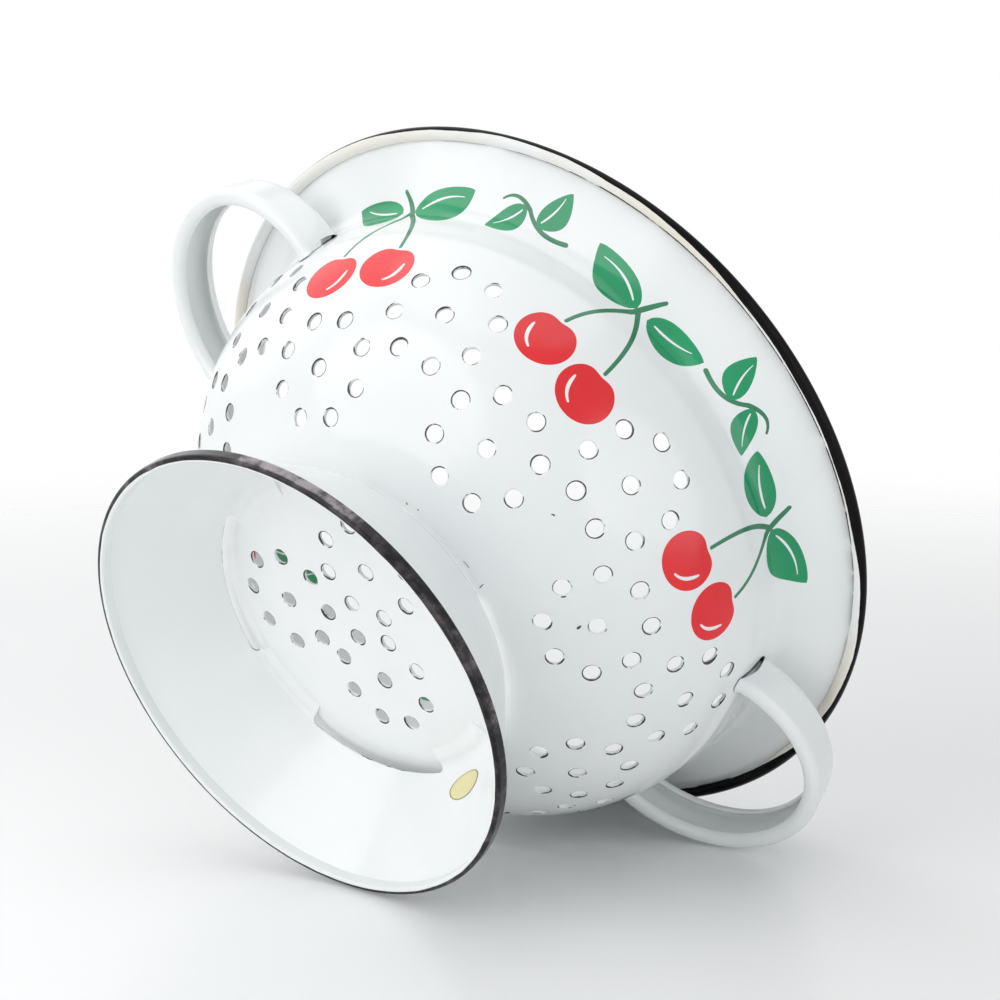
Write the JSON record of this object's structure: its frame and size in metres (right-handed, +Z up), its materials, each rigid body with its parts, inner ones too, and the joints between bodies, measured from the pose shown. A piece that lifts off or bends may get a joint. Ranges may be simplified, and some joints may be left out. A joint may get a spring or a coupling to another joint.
{
  "type": "colander",
  "caption": "Footed enamelled steel colander: a round bowl punched with flowers of drain holes, a flared rolled rim, a slotted foot and strap loop handles.",
  "frame": {"origin": "on the table, under the middle of the foot", "axes": "+Z up along the bowl's axis from the foot to the mouth, +X through both handles"},
  "size_m": [0.2828, 0.25, 0.1238],
  "materials": {
    "enamel": "glossy white vitreous enamel",
    "trim": "glossy black enamel on the rim and the foot's hem",
    "foil": "blank metallic foil"
  },
  "bodies": {
    "root": {"bowl": "enamel", "foot": "enamel", "handle_right": "enamel", "handle_left": "enamel"}
  },
  "joints": []
}
